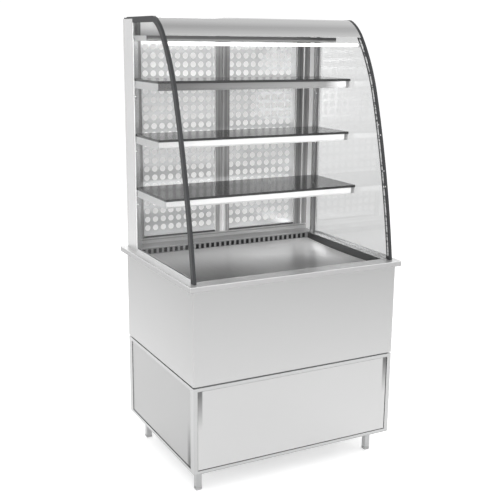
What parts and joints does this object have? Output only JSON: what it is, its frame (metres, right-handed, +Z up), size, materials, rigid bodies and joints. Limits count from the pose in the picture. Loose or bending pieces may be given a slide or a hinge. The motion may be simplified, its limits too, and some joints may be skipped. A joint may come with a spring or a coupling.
{
  "type": "refrigerated display case",
  "caption": "Free-standing open-front refrigerated display case: steel cabinet on legs, dished cold deck, curved-edge glass sides, glossy shelves and a perforated polished back wall.",
  "frame": {"origin": "on the floor, in the middle of the worktop's outline", "axes": "+X to the case's right seen from the front, +Y to its back, +Z up; the open front faces -Y"},
  "size_m": [0.99, 0.78, 1.905],
  "materials": {
    "worktop_steel": "brushed",
    "body_steel": "brushed",
    "panel_steel": "brushed",
    "frame_steel": "satin",
    "polished_steel": "polished",
    "liner_steel": "brushed",
    "dark_metal": "satin",
    "shelf_plate": "gloss",
    "bar_aluminium": "polished",
    "edge_trim": "satin",
    "side_glass": "clear",
    "white_sheet": "gloss",
    "foam": "matt",
    "lamp_diffuser": "opal",
    "black_plastic": "matt",
    "grey_plastic": "matt",
    "foot_plastic": "matt",
    "green_rocker": "gloss",
    "white_rocker": "gloss",
    "compressor_black": "gloss",
    "fin_aluminium": "matt",
    "copper": "matt",
    "screw_steel": "polished"
  },
  "bodies": {
    "cabinet": {"base_pan": "frame_steel", "base_frame": "frame_steel", "leg_front_left": "frame_steel", "leg_front_right": "frame_steel", "leg_rear_left": "frame_steel", "leg_rear_right": "frame_steel", "leg_feet": "foot_plastic", "lower_front_panel": "panel_steel", "lower_left_panel": "panel_steel", "lower_right_panel": "panel_steel", "rear_service_grille": "panel_steel", "compressor": "compressor_black", "condenser_coil": "fin_aluminium", "fan_shroud": "dark_metal", "refrigerant_pipes": "copper", "filter_drier": "copper", "condensate_pan": "grey_plastic", "drain_pipe": "grey_plastic", "control_box": "black_plastic", "cable_gland": "black_plastic", "body_shell": "body_steel", "body_insulation": "foam", "worktop": "worktop_steel", "well_liner": "liner_steel", "display_deck": "worktop_steel", "air_grille": "liner_steel", "evaporator_coil": "fin_aluminium", "evaporator_fan_frame": "liner_steel", "casing_left_cheek": "polished_steel", "casing_right_cheek": "polished_steel", "rear_cover": "panel_steel", "rear_insulation": "foam", "white_liner": "white_sheet", "perforated_wall": "polished_steel", "mullions": "dark_metal", "sill": "liner_steel", "upright_left": "dark_metal", "upright_right": "dark_metal", "canopy": "polished_steel", "top_rail": "bar_aluminium", "lamp": "lamp_diffuser", "lamp_holders": "dark_metal", "shelf_lower": "shelf_plate", "shelf_middle": "shelf_plate", "shelf_upper": "shelf_plate", "shelf_bars": "bar_aluminium", "shelf_brackets": "bar_aluminium", "side_glass_left": "side_glass", "side_glass_right": "side_glass", "glass_trim_left": "edge_trim", "glass_trim_right": "edge_trim", "glass_channels": "bar_aluminium", "screws": "screw_steel"},
    "condenser_fan_body": {"condenser_fan": "black_plastic"},
    "evaporator_fan_left_body": {"evaporator_fan_left": "black_plastic"},
    "evaporator_fan_right_body": {"evaporator_fan_right": "black_plastic"},
    "thermostat_knob_body": {"thermostat_knob": "grey_plastic"},
    "power_switch_body": {"power_switch": "green_rocker"},
    "light_switch_body": {"light_switch": "white_rocker"}
  },
  "joints": [
    {"name": "condenser_fan_spin", "type": "hinge", "parent": "cabinet", "child": "condenser_fan_body", "pos_m": [0.15, 0.22, 0.262], "axis": [0, 1, 0], "continuous": true},
    {"name": "evaporator_fan_left_spin", "type": "hinge", "parent": "cabinet", "child": "evaporator_fan_left_body", "pos_m": [-0.19, 0.141, 0.6997], "axis": [0, 1, 0], "continuous": true},
    {"name": "evaporator_fan_right_spin", "type": "hinge", "parent": "cabinet", "child": "evaporator_fan_right_body", "pos_m": [0.19, 0.141, 0.6997], "axis": [0, 1, 0], "continuous": true},
    {"name": "thermostat_turn", "type": "hinge", "parent": "cabinet", "child": "thermostat_knob_body", "pos_m": [-0.278, 0.356, 0.362], "axis": [0, 1, 0], "range_deg": [0, 270]},
    {"name": "power_switch_tilt", "type": "hinge", "parent": "cabinet", "child": "power_switch_body", "pos_m": [-0.326, 0.349, 0.362], "axis": [1, 0, 0], "range_deg": [0, 16]},
    {"name": "light_switch_tilt", "type": "hinge", "parent": "cabinet", "child": "light_switch_body", "pos_m": [-0.356, 0.349, 0.362], "axis": [1, 0, 0], "range_deg": [0, 16]}
  ]
}
